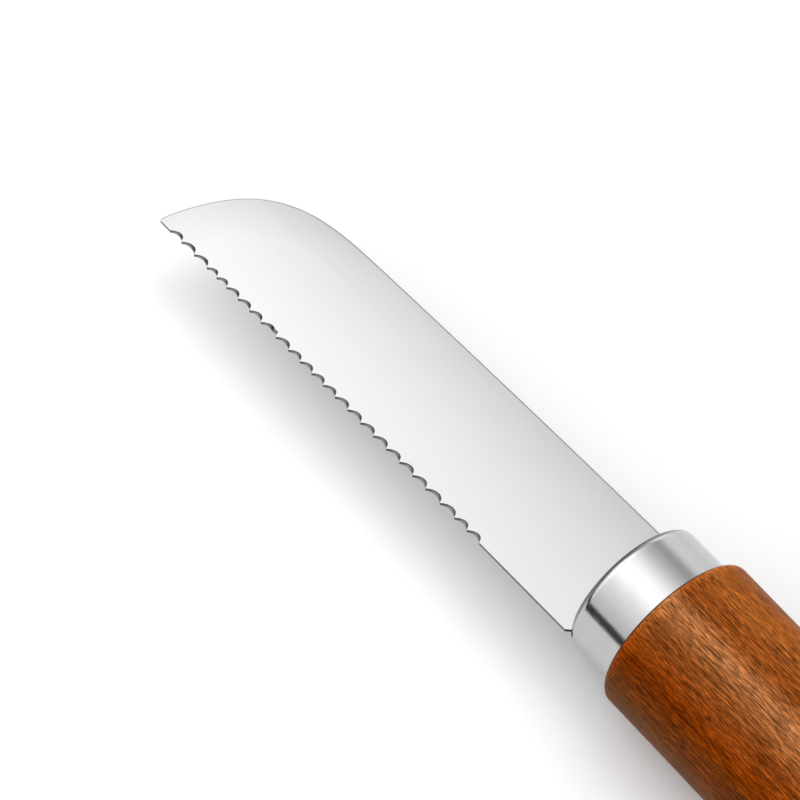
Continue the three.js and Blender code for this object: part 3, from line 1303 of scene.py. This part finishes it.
@dataclass(frozen=True)
class Handle:
    """The turned wooden handle, with its spigot, drilled hole and domed butt.

    Attributes:
        datum: Where the knife lies.
        finish: The wood's surface.
        shoulder: X of the shoulder behind the ferrule.
        length: From the shoulder to the butt.
        front_radius: Radius at the shoulder.
        front_round: Rounding of the shoulder's edge.
        waist: How much slimmer the grip is than the shoulder.
        waist_length: Stretch over which it slims.
        butt: Length of the domed end.
        butt_pole: Degrees from the axis at which the dome's last ring lies.
        spigot: X of the spigot's front, its radius and the rounding of its front edge.
        bore: Radius and end of the drilled hole.
        drill_angle: Degrees at the bottom of the hole.
        sides: Sides round it.
        steps: Steps round the spigot's edge and the shoulder's, along the waist and along the butt.
    """

    datum: Datum
    finish: Finish
    shoulder: float = 8.88
    length: float = 105.0
    front_radius: float = 12.6
    front_round: float = 1.2
    waist: float = 0.1
    waist_length: float = 18.0
    butt: float = 10.0
    butt_pole: float = 0.3
    spigot: tuple[float, float, float] = (1.1, 9.9, 0.4)
    bore: Point = (5.24, 71.0)
    drill_angle: float = 118.0
    sides: int = 160
    steps: tuple[int, int, int, int] = (6, 8, 12, 24)

    def build(self) -> bpy.types.Object:
        """Model the handle.

        Returns:
            The finished piece.
        """
        bench = Bench.turned("handle_turned", self.profile(), self.datum, self.sides)
        bench.dress(self.finish)
        return bench.finish()

    def profile(self) -> list[Point]:
        """Draw half of the handle's section.

        Returns:
            X and radius, from the bottom of the drilled hole over the spigot and the grip to the butt.
        """
        grip = self.front_radius - self.waist
        end = self.shoulder + self.length
        round_end = self.shoulder + self.front_round
        waist_end = round_end + self.waist_length
        bore_radius, bore_end = self.bore
        front, spigot_radius, small = self.spigot
        spigot_steps, front_steps, waist_steps, butt_steps = self.steps
        drill_point = bore_radius / math.tan(math.radians(self.drill_angle / 2))
        line = [(bore_end + drill_point, Bench.POLE), (bore_end, bore_radius), (front, bore_radius)]
        line += arc((front + small, spigot_radius - small), (small, small), 180, 90, spigot_steps)
        line += [(self.shoulder, spigot_radius)]
        line += arc((round_end, self.front_radius - self.front_round), (self.front_round, self.front_round),
                    180, 90, front_steps)
        line += parabola((round_end, self.front_radius), ((round_end + waist_end) / 2, grip),
                         (waist_end, grip), waist_steps)[1:]
        return line + arc((end - self.butt, 0), (self.butt, grip), 90, self.butt_pole, butt_steps)


@dataclass(frozen=True)
class TangBedding:
    """The set resin round the tang, sealed inside the handle. Its solid is right as it is.

    Attributes:
        finish: The resin's surface.
    """

    finish: Finish

    def dress(self) -> bpy.types.Object:
        """Give the solid its surface.

        Returns:
            The solid's object.
        """
        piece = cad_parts["tang_cement"]
        piece.data.materials.clear()
        piece.data.materials.append(self.finish.make())
        return piece


@dataclass(frozen=True)
class SoftLamp:
    """A square soft lamp that the steel doesn't mirror.

    Attributes:
        name: The lamp's name.
        place: Where it hangs, in millimetres. It points at the middle of the knife's floor.
        size: Millimetres along its side.
        power: Its power in watts.
    """

    name: str
    place: tuple[float, float, float]
    size: float
    power: float

    def hang(self) -> bpy.types.Object:
        """Hang the lamp.

        Returns:
            The lamp.
        """
        place = Vector(self.place)
        turn = place.to_track_quat("Z", "Y").to_euler()
        bpy.ops.object.light_add(type="AREA", location=place * MM, rotation=turn)
        lamp = bpy.context.object
        lamp.name = self.name
        lamp.data.size = self.size * MM
        lamp.data.energy = self.power
        lamp.visible_glossy = False
        return lamp


@dataclass(frozen=True)
class LightTent:
    """A white tent round a paper floor: bright cloth overhead, dimmer sides and a dark gap at the front.

    Attributes:
        paper: The paper's surface.
        cloth: Degrees from straight overhead towards the spine, and the cloth's brightness there.
        gain: What the brightest stop is stored as one of.
        gap: Height of the dark gap above the horizon, as the sine of its angle.
        gap_end: How far the gap reaches round towards the spine's side, as a share of the way there.
        gap_light: Brightness in the gap.
        length_light: How far along X a direction points, and how much brighter or dimmer the tent is there.
        floor: Lowest and highest X and Y of the paper, in millimetres.
        floor_cuts: Cuts along and across the paper.
        lamps: The soft lamps: one behind the spine, which throws the shadow to the edge's side, and a
            weak one in front, which keeps that shadow pale.
    """

    paper: Finish
    cloth: tuple[Point, ...] = (
        (-180, 1.1), (-96, 0.92), (-78, 0.95), (-60, 1.18), (-34, 1.62), (-18, 2.1), (2, 2.1), (15, 1.64),
        (26, 1.2), (45, 0.72), (56, 0.68), (67, 1.17), (80, 1.22), (180, 1.1))
    gain: float = 3.0
    gap: float = 0.145
    gap_end: float = 0.35
    gap_light: float = 0.05
    length_light: tuple[Point, ...] = (
        (-0.61, 1.3), (-0.42, 1.11), (-0.33, 0.985), (-0.2, 0.86), (-0.01, 0.7))
    floor: tuple[float, float, float, float] = (-1500, 1500, -205, 1500)
    floor_cuts: int = 3
    lamps: tuple[SoftLamp, ...] = (
        SoftLamp("back_lamp", place=(-30.0, 400.0, 920.0), size=560.0, power=3.5),
        SoftLamp("front_lamp", place=(60.0, -900.0, 420.0), size=600.0, power=3.4))

    def spread_floor(self) -> bpy.types.Object:
        """Lay the paper floor.

        Returns:
            The floor.
        """
        left, right, front, back = self.floor
        middle = Vector(((left + right) / 2 * MM, (front + back) / 2 * MM, 0))
        bench = Bench("floor", bpy.ops.mesh.primitive_plane_add, size=(right - left) * MM, location=middle)
        with bench.editing():
            bpy.ops.transform.resize(value=(1, (back - front) / (right - left), 1), center_override=middle)
            bpy.ops.mesh.subdivide(number_cuts=self.floor_cuts)
        bench.dress(self.paper)
        return bench.piece

    def light(self) -> None:
        """Light the scene from the tent's cloth, which the camera itself sees as plain white."""
        world = bpy.data.worlds.new("tent")
        world.use_nodes = True
        tree = world.node_tree
        tree.nodes.clear()
        way = add_node(tree, "TexCoord", {}, {}).outputs["Generated"]
        parts = add_node(tree, "SeparateXYZ", {}, {"Vector": way}).outputs
        lit = self.cloth_light(tree, parts)
        low = add_node(tree, "Math", {"operation": "LESS_THAN"}, {0: parts["Z"], 1: self.gap})
        front = add_node(tree, "Math", {"operation": "LESS_THAN"}, {0: parts["Y"], 1: self.gap_end})
        gap = add_node(tree, "Math", {"operation": "MULTIPLY"}, {
            0: low.outputs["Value"], 1: front.outputs["Value"]})
        tent = add_node(tree, "Mix", {"data_type": "RGBA"}, {
            MIX_SHARE: gap.outputs["Value"], MIX_FIRST: lit, MIX_SECOND: grey(self.gap_light)})
        ray = add_node(tree, "LightPath", {}, {}).outputs["Is Camera Ray"]
        seen = add_node(tree, "Mix", {"data_type": "RGBA"}, {
            MIX_SHARE: ray, MIX_FIRST: tent.outputs[MIX_RESULT], MIX_SECOND: grey(1.0)})
        background = add_node(tree, "Background", {}, {
            "Color": seen.outputs[MIX_RESULT], "Strength": 1.0})
        add_node(tree, "OutputWorld", {}, {"Surface": background.outputs["Background"]})
        bpy.context.scene.world = world

    def cloth_light(self, tree: Tree, parts: bpy.types.bpy_prop_collection) -> Socket:
        """Build the nodes of the cloth's light.

        Args:
            tree: The world's tree.
            parts: The sockets with the X, Y and Z of a direction.

        Returns:
            The light from that direction.
        """
        angle = add_node(tree, "Math", {"operation": "ARCTAN2"}, {0: parts["Y"], 1: parts["Z"]})
        share = add_node(tree, "MapRange", {}, {
            "Value": angle.outputs["Value"], "From Min": -math.pi, "From Max": math.pi})
        cloth = add_node(tree, "ValToRGB", {}, {"Fac": share.outputs["Result"]})
        paint_ramp(cloth, [((degrees + 180) / 360, grey(bright / self.gain))
                           for degrees, bright in self.cloth])
        cloth.color_ramp.interpolation = "CARDINAL"
        first, last = self.length_light[0][0], self.length_light[-1][0]
        place = add_node(tree, "MapRange", {}, {
            "Value": parts["X"], "From Min": first, "From Max": last})
        length = add_node(tree, "ValToRGB", {}, {"Fac": place.outputs["Result"]})
        paint_ramp(length, [((x - first) / (last - first), grey(bright / self.gain))
                            for x, bright in self.length_light])
        product = add_node(tree, "VectorMath", {"operation": "MULTIPLY"}, {
            0: cloth.outputs["Color"], 1: length.outputs["Color"]})
        lit = add_node(tree, "VectorMath", {"operation": "SCALE"}, {
            0: product.outputs["Vector"], "Scale": self.gain ** 2})
        return lit.outputs["Vector"]


@dataclass(frozen=True)
class PhotoCamera:
    """The photograph's viewpoint.

    Attributes:
        datum: Where the knife lies.
        target: What the middle of the picture shows, in millimetres on the knife.
        heading: Degrees from +X to the camera, seen from above.
        elevation: Degrees of the camera above the floor.
        distance: Millimetres from the target.
        nearest: Millimetres from which on things show.
        focal: Focal length in pixels of the picture.
        width: The picture's width in pixels.
        sensor: Width of the sensor in millimetres.
    """

    datum: Datum
    target: tuple[float, float, float] = (-42.7, -5.58, 0.0)
    heading: float = -38.6
    elevation: float = 57.1
    distance: float = 430.0
    nearest: float = 10.0
    focal: float = 3051.5
    width: float = 800.0
    sensor: float = 36.0

    def place(self) -> bpy.types.Object:
        """Make the camera and look through it.

        Returns:
            The camera.
        """
        heading, elevation = math.radians(self.heading), math.radians(self.elevation)
        flat = math.cos(elevation)
        way = Vector((flat * math.cos(heading), flat * math.sin(heading), math.sin(elevation)))
        data = bpy.data.cameras.new("photo_camera")
        data.sensor_width = self.sensor
        data.lens = self.focal * self.sensor / self.width
        data.clip_start = self.nearest * MM
        camera = bpy.data.objects.new("photo_camera", data)
        bpy.context.scene.collection.objects.link(camera)
        camera.location = self.datum.at(*self.target) + way * self.distance * MM
        camera.rotation_euler = way.to_track_quat("Z", "Y").to_euler()
        bpy.context.scene.camera = camera
        return camera


DATUM = Datum.of_frame()
TOOTH_TIPS = Blade.teeth.tips

# Stainless steel, ground along the blade and buffed: it mirrors the tent as soft broad tones, with painted
# shade along the nose. Its lines are really about 0.03 mm wide, and are drawn four times as wide to show
# at all.
BLADE_STEEL = NoseShadedSteel(
    name="buffed_stainless_steel", colours=("#bfbfbe", "#bcbdbd"), roughness=(0.13, 0.19), line=(9.0, 0.12),
    line_depth=0.0004, cloud=14.0, nose=DATUM.at(-63.0, -13.0).xy[:], reach=(26.1, 19.2), dull=(0.7, 1.03),
    nose_shade_depth=0.13, fade=(-11.0, 3.0))
# The same steel as the press cut it, on spine, nose and plain edge: dull, so they read as dark lines.
OUTLINE_STEEL = GroundSteel(
    name="stamped_stainless_steel", colours=("#5e5e5d", "#505050"), roughness=(0.3, 0.4), line=(0.3, 0.15),
    line_depth=0.0005, cloud=4.0)
# The same steel as the wheel left it in the scallops, duller than the sides, with painted shade: each is
# pale towards the point and nearly black towards the heel, with a darker strip under the ground side. The
# wheel's marks are finer than a pixel, and are drawn coarser so that the tones look uneven.
TEETH_STEEL = GroundTeethWithShade(
    name="wheel_ground_steel_with_shade",
    tones=((0.0, "#5a5a59"), (0.1, "#6c6c6b"), (0.25, "#8e8e8c"), (0.45, "#8a8a88"), (0.6, "#666665"),
           (0.75, "#282828"), (1.0, "#1c1c1c")),
    row=(DATUM.at(TOOTH_TIPS[0] - Blade.length).x, DATUM.at(TOOTH_TIPS[-1] - Blade.length).x),
    drift=(0.05, -0.16), patch=0.1, shade_strip=(DATUM.axis - 0.08 * MM, DATUM.axis + 0.2 * MM), shade_strip_tone=0.4,
    roughness=(0.2, 0.3), mark=0.25)
# The heel's corner is painted nearly black as shade, for the dark crevice between blade and ferrule.
CORNER_SHADE_STEEL = GroundSteel(
    name="heel_corner_painted_shade", colours=("#2e2e2d", "#222221"), roughness=(0.4, 0.5), line=(0.3, 0.15),
    line_depth=0.0005, cloud=1.0)
# Stainless steel drawn to a cup and buffed: bright and dark stripes along it, a little uneven from drawing.
FERRULE_STEEL = GroundSteel(
    name="drawn_stainless_steel", colours=("#bababa", "#b4b4b4"), roughness=(0.1, 0.17), line=(0.8, 0.5),
    line_depth=0.0012, cloud=2.0)
# The same steel darkened in two steps round the rim as painted shade, for a dark line round it.
RIM_SHADE_STEELS = tuple(
    GroundSteel(name=name, colours=colours, roughness=(0.2, 0.3), line=(0.8, 0.5), line_depth=0.0012,
                cloud=2.0)
    for name, colours in (("rim_half_shade_steel", ("#8a8a8a", "#848484")),
                          ("rim_full_shade_steel", ("#4a4a4a", "#444444"))))
# Red-brown hardwood, turned, sanded and oiled: broad growth bands, fine streaks along the grain and dark
# pores under a warm satin sheen. Fibres and pores are really under 0.1 mm wide, and are drawn wider to show.
# The bands carry a painted highlight over the top of the handle and painted shade down its lower side, and
# the front edge a painted shadow next to the ferrule with a painted highlight just behind it.
HANDLE_WOOD = TurnedHardwood(
    name="oiled_red_hardwood",
    bands_and_light=((-13.0, "#563208"), (-10.0, "#602600"), (-8.5, "#723005"), (-5.0, "#743f19"), (-2.2, "#8f5a34"),
           (1.5, "#763b12"), (5.4, "#86491a"), (8.0, "#8b4706"), (13.0, "#783e05")),
    sway=(40.0, 3.0), sway_reach=0.8, fibre=(9.0, 0.18), fibre_tones=(0.58, 1.5), mottle=(3.2, 0.9),
    mottle_tones=(0.88, 1.14), ray=(1.2, 0.11), ray_tones=(0.46, 1.68), vessel=(2.6, 0.11),
    pore_share=(0.5, 0.58), pore_tone=0.48, pore_depth=0.01, front=DATUM.at(Handle.shoulder).x,
    front_light_tones=((0.0, 0.2), (0.35, 0.3), (0.55, 1.42), (1.0, 1.25), (1.8, 1.0)), sheen="#ff9a38", index=1.12,
    roughness=(0.36, 0.48))
# Filled resin, poured and set: dull grey-brown with paler specks. Nothing shows it while the knife is whole.
BEDDING_RESIN = SpeckledMatte(
    name="set_bedding_resin", colours=("#4a423a", "#5a5148"), speck=0.6, roughness=0.8)
# Pressed paper: an even dull white. Its fibres are too fine to show, and stand as slight clouds of 2 mm.
STUDIO_PAPER = SpeckledMatte(
    name="white_studio_paper", colours=("#d4d4d4", "#d2d2d2"), speck=2.0, roughness=0.9)


def stand_for(piece: bpy.types.Object, node: str) -> None:
    """Let a piece stand for a solid: it rides on the root body, and the solid is hidden.

    Args:
        piece: The piece.
        node: The solid that it replaces.
    """
    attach(piece, BODY)
    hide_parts(node)
    LOG.info("%s stands for %s: %d faces", piece.name, node, len(piece.data.polygons))


def main() -> None:
    """Build the studio and the knife."""
    logging.basicConfig(level=logging.INFO, format="%(name)s: %(message)s")
    settings = bpy.context.scene.view_settings
    settings.view_transform = "Standard"
    settings.look = "None"
    PhotoCamera(DATUM).place()
    tent = LightTent(STUDIO_PAPER)
    tent.spread_floor()
    tent.light()
    for lamp in tent.lamps:
        lamp.hang()
    blade = Blade(DATUM, BLADE_STEEL, OUTLINE_STEEL, TEETH_STEEL, CORNER_SHADE_STEEL).build()
    stand_for(blade, "blade")
    stand_for(Ferrule(DATUM, FERRULE_STEEL, RIM_SHADE_STEELS).build(), "ferrule")
    stand_for(Handle(DATUM, HANDLE_WOOD).build(), "handle")
    bedding = TangBedding(BEDDING_RESIN).dress()
    LOG.info("%s keeps its solid", bedding.name)


if __name__ == "__main__":
    main()
